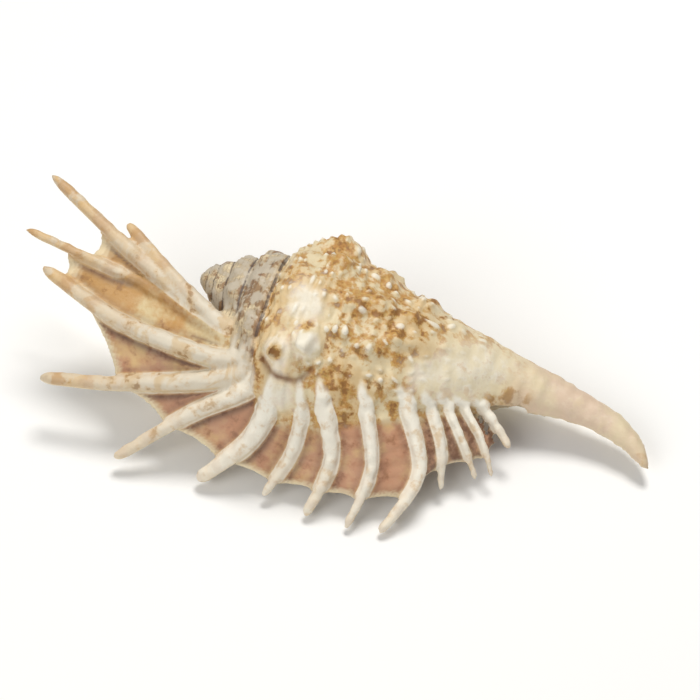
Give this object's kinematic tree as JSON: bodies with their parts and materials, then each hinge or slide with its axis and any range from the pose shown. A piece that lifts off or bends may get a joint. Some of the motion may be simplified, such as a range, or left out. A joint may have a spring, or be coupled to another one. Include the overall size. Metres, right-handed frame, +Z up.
{
  "type": "spider conch shell",
  "caption": "Spider conch shell lying mouth down, with a stepped spire, a knobbed body whorl, a lip drawn out in long fingers and a curved siphonal canal.",
  "frame": {"origin": "on the flat of the shell's underside that it rests on", "axes": "+X along the shell's axis, from the spire to the siphonal canal; +Z up, out of the back of the shell; the fingered lip spreads towards -Y"},
  "size_m": [0.129, 0.054, 0.0358],
  "materials": {
    "shell": "satin"
  },
  "bodies": {
    "root": {"shell": "shell"}
  },
  "joints": []
}
